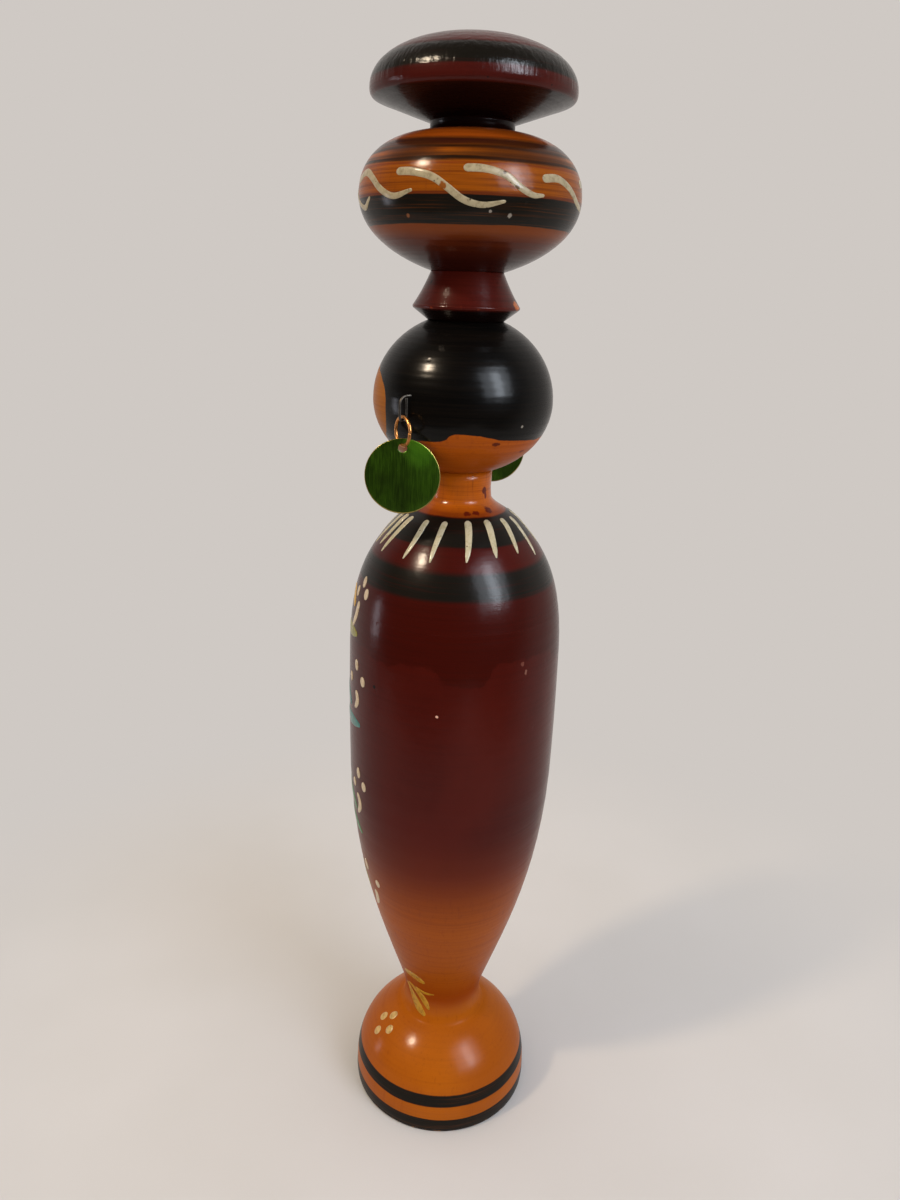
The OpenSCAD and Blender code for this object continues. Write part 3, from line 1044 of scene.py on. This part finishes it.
def face(head):
    """A plain painted face, which the photograph doesn't show."""
    dark, white, red = (Strokes(head) for _ in range(3))
    for side in (1, -1):
        dark.stroke(mirrored(BROW, side), (0.5, 0.9, 1, 0.8, 0.3), lift=0.08)
        white.dot(side * EYE_ANGLE, 219, 5.2, 2.8)
        dark.stroke(mirrored(EYELID, side), (0.3, 0.7, 0.8, 0.7, 0.3), lift=0.25)
        dark.dot(side * EYE_ANGLE, 219.1, 2.1, 2.3, lift=0.45)
    red.stroke(MOUTH, (0.4, 1.1, 1.4, 1.1, 0.4), lift=0.1)
    dark.stroke(NOSE, (0.3, 0.5, 0.6, 0.5, 0.3), lift=0.06)
    dark.done("face_lines", "face_dark", "#17100c", "#2a1a12")
    white.done("face_eyes", "face_white", "#d9d3c2", "#b7ad98")
    red.done("face_mouth", "face_red", MOUTH_RED, "#7c2a18")


# Earrings

# Stamped disc: thickness, radius of its hole, bevel of its rim, depth and level of its dish, dents
SHEET = 0.4
HOLE_R = 1.1
RIM_BEVEL = 0.1
DISH = 0.4
DISH_LEVEL = 0.57
DENT = 0.05
# Where the bare edge of the sheet starts, as a share of the way from the hole to the rim
BARE_EDGE = 0.982
# Narrow strip round the hole, which keeps the shading of the faces flat up to the hole
HOLE_EDGE = 0.015
DISC_ROUNDS = 96
DISC_SPANS = 10
# Split ring: radius of its wire, half the angle of its cut, and how far the ends pass each other
WIRE_R = 0.4
HALF_CUT = 0.9
PASSING = 0.14
RING_STEPS = 90
WIRE_ROUNDS = 14
UP = Vector((0, 0, 1))


def joint_axis(name):
    """Turning axis of a joint as (point, direction), in millimetres."""
    joint = next(j for j in frame["joints"] if j["name"] == name)
    return Vector(joint["pos_m"]) / MM, Vector(joint["axis"]).normalized()


def place_of(node):
    """(middle, size) of a CAD node's box, in millimetres."""
    low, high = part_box(node)
    return (low + high) / 2 / MM, (high - low) / MM


def ear_disc(side, sheet, edge):
    """Stamped disc, a little dished and dented, with a raw edge and a punched hole."""
    node = "ear_disc_" + side
    hole, facing = joint_axis("disc_%s_swing" % side)
    centre, size = place_of(node)
    across = UP.cross(facing)
    radius = size.z / 2

    def sheet_point(turn, share, rise):
        """Point at a share of the way from hole to rim, rise millimetres off the middle plane."""
        ray = across * math.cos(turn) + UP * math.sin(turn)
        rim = centre + ray * (radius - RIM_BEVEL * abs(rise) / SHEET)
        flat = (hole + ray * HOLE_R).lerp(rim, share)
        off = (flat - centre).length / radius
        x, z = (flat - centre).dot(across), flat.z - centre.z
        dent = DENT * math.sin(0.55 * x + 1) * math.sin(0.47 * z) * min(share * 3, 1)
        return flat + facing * (rise + DISH * (DISH_LEVEL - off * off) + dent)

    half = SHEET / 2
    shares = [0, HOLE_EDGE] + [i / DISC_SPANS * BARE_EDGE for i in range(1, DISC_SPANS + 1)]
    front = [(share, half) for share in shares] + [(1, half * 0.8)]
    rows = front + [(1, 0)] + [(share, -rise) for share, rise in reversed(front)]
    points = [sheet_point(turn, share, rise) for share, rise in rows for turn in turns(DISC_ROUNDS)]
    faces = loop_faces(len(rows), DISC_ROUNDS, True)
    piece = new_piece(node + "_sheet", points, faces, [sheet, edge], "disc_" + side, [node])
    bare = set(range(DISC_SPANS + 1, DISC_SPANS + 5)) | {len(rows) - 1}
    for i, each in enumerate(piece.data.polygons):
        if i // DISC_ROUNDS in bare:
            each.material_index = 1


def ear_ring(side, copper):
    """Jump ring: round wire with a cut whose ends pass each other slightly."""
    node = "ear_ring_" + side
    _, axis = joint_axis("ring_%s_swing" % side)
    centre, size = place_of(node)
    across = UP.cross(axis)
    mean = size.z / 2 - WIRE_R
    cut = math.radians(HALF_CUT)
    points = []
    for i in range(RING_STEPS + 1):
        share = i / RING_STEPS
        turn = cut + (2 * math.pi - 2 * cut) * share
        ray = across * math.cos(turn) + UP * math.sin(turn)
        spot = centre + ray * mean + axis * PASSING * (share - 0.5)
        thin = 0.9 if i in (0, RING_STEPS) else 1
        for a in turns(WIRE_ROUNDS):
            points.append(spot + (ray * math.cos(a) + axis * math.sin(a)) * WIRE_R * thin)
    faces = tube_faces(RING_STEPS + 1, WIRE_ROUNDS)
    new_piece(node + "_wire", points, faces, [copper], "ring_" + side, [node])


def cad_finish(node, material):
    """Gives a CAD node that is kept as it is a finished material and smooth faces."""
    piece = frame["nodes"][node]
    piece.data.materials.clear()
    piece.data.materials.append(material)
    for each in piece.data.polygons:
        each.use_smooth = True


# Studio

# Direction of the room's dark side, and how far gloss must face it and the table to show them
DARK_ANGLE = CAMERA_ANGLE - 8
DARK_FACING = (-0.32, 0.33)
TABLE_FACING = (0.34, 0.43)
# Half width of the table in metres, and the distances in millimetres between which it fades
TABLE_HALF = 0.27
TABLE_FADE = (95, 260)
# Point that every lamp faces, in metres
LAMP_AIM = Vector((0, 0, 0.19))
# Lamps in metres and watts: (name, direction from the aim, distance, width, height, power, colour,
# finish that shows it)
LAMPS = (
    ("lamp", (0.607, -0.386, 0.695), 2.4, 0.2, 0.2, 15.6, "#ffe2bd", "matt"),
    ("glint", (0.607, -0.386, 0.695), 2.3, 0.24, 0.24, 58, "#ffe9cc", "gloss"),
    ("window_right", (0.235, 0.835, 0.501), 1.2, 0.6, 0.72, 7, "#e2eaff", "matt"),
    ("pane_wide", (0.245, 0.835, 0.505), 1.1, 0.7, 0.74, 12, "#e0e9f4", "gloss"),
    ("pane_core", (0.215, 0.845, 0.475), 1.06, 0.2, 0.62, 8, "#e0e9f4", "gloss"),
    ("pane_left", (0.42, -0.9, -0.13), 1.1, 0.13, 0.27, 1, "#e6e8f4", "gloss"),
    ("ceiling", (0.1, -0.25, 1), 1.1, 1, 1, 2.2, "#fff4e6", "matt"),
)


def backdrop():
    """Even pale room. Gloss shows the dark side where the photographer stands, over a pale table."""
    world = bpy.data.worlds.new("studio")
    bpy.context.scene.world = world
    world.use_nodes = True
    nodes = Nodes(world.node_tree)
    looked_at = nodes.new("TexCoord").outputs["Generated"]
    glossy = nodes.new("LightPath").outputs["Is Glossy Ray"]

    def towards(direction, facing):
        """0 to 1 as the looked-at direction turns towards the given one."""
        dot = nodes.vector_math("DOT_PRODUCT", looked_at, direction)
        return nodes.ramp(dot.outputs["Value"], *facing)

    photographer = round_axis(0.95, math.radians(DARK_ANGLE), 0.3)
    dark = nodes.times(glossy, towards(photographer, DARK_FACING))
    seen = nodes.mix(towards((0, 0, -1), TABLE_FACING), DARK_SIDE, TABLE_SHEEN)
    nodes.join(nodes.mix(dark, ROOM, seen), world.node_tree.nodes["Background"].inputs["Color"])


def floor():
    """Pale table top that fades into the room."""
    paint = Paint("floor")
    away = paint.math("SQRT", paint.squares(paint.x, paint.y))
    cloud = paint.noise(0.01)
    pale = paint.fade("#d6d5d3", "#d1d0cd", cloud, 0.3, 0.7)
    fade = paint.ramp(away, *TABLE_FADE)
    paint.set(
        Base_Color=paint.mix(fade, pale, "#000000"),
        Emission_Color=paint.mix(fade, "#000000", ROOM),
        Emission_Strength=1,
        Roughness=0.75,
        Specular_IOR_Level=0,
    )
    mesh = bpy.data.meshes.new("floor")
    corners = [(x * TABLE_HALF, y * TABLE_HALF, 0) for x, y in ((-1, -1), (1, -1), (1, 1), (-1, 1))]
    mesh.from_pydata(corners, [], [(0, 1, 2, 3)])
    mesh.materials.append(paint.material)
    table = new_object("floor", mesh)


def lamps():
    """A small warm lamp, soft window and ceiling light, and the panes that gloss shows."""
    for name, direction, distance, wide, tall, power, colour, kind in LAMPS:
        light = bpy.data.lights.new(name, "AREA")
        light.shape = "RECTANGLE"
        light.size, light.size_y = wide, tall
        light.energy = power
        light.color = rgb(colour)[:3]
        lamp = new_object(name, light)
        lamp.location = LAMP_AIM + Vector(direction).normalized() * distance
        lamp.rotation_euler = (lamp.location - LAMP_AIM).to_track_quat("Z", "Y").to_euler()
        lamp.visible_glossy = kind == "gloss"
        lamp.visible_diffuse = kind == "matt"


def camera():
    """The photograph's viewing angle."""
    data = bpy.data.cameras.new("camera")
    data.sensor_fit = "VERTICAL"
    data.sensor_height = 36
    data.lens = FOCAL_PIXELS / IMAGE_HEIGHT * data.sensor_height
    data.clip_start = 0.01
    place = round_axis(CAMERA_DISTANCE, math.radians(CAMERA_ANGLE), CAMERA_HEIGHT)
    pose = Matrix.Translation(place * MM)
    for angle, axis in ((CAMERA_ANGLE + CAMERA_TURN, "Z"), (90 - CAMERA_PITCH, "X"), (CAMERA_ROLL, "Z")):
        pose = pose @ Matrix.Rotation(math.radians(angle), 4, axis)
    eye = new_object("camera", data)
    eye.matrix_world = pose
    bpy.context.scene.camera = eye


def doll():
    """All pieces of the doll."""
    body = turned_piece("body", body_material())
    head = turned_piece("head", head_material())
    turned_piece("collar", collar_material(), COLLAR_ROUNDING)
    pot = turned_piece("pot", pot_material())
    turned_piece("lid", lid_material())
    shoulder_strokes(body)
    pot_waves(pot)
    body_flowers(body)
    foot_touches(body)
    face(head)
    wood = bare_wood_material()
    for node in ("neck_dowel", "crown_dowel", "lid_dowel"):
        cad_finish(node, wood)
    wire = metal_material("dark_wire", "#5c564f", "#332f2a", 0.4)
    copper = metal_material("copper_wire", "#cf8d50", "#b87540", 0.3)
    brass = metal_material("raw_edge", "#b9a25a", "#7d7a3a", 0.3)
    sheet = sheet_material()
    for side in ("left", "right"):
        cad_finish("ear_hook_" + side, wire)
        ear_ring(side, copper)
        ear_disc(side, sheet, brass)


bpy.context.scene.view_settings.view_transform = "Standard"
doll()
backdrop()
floor()
lamps()
camera()
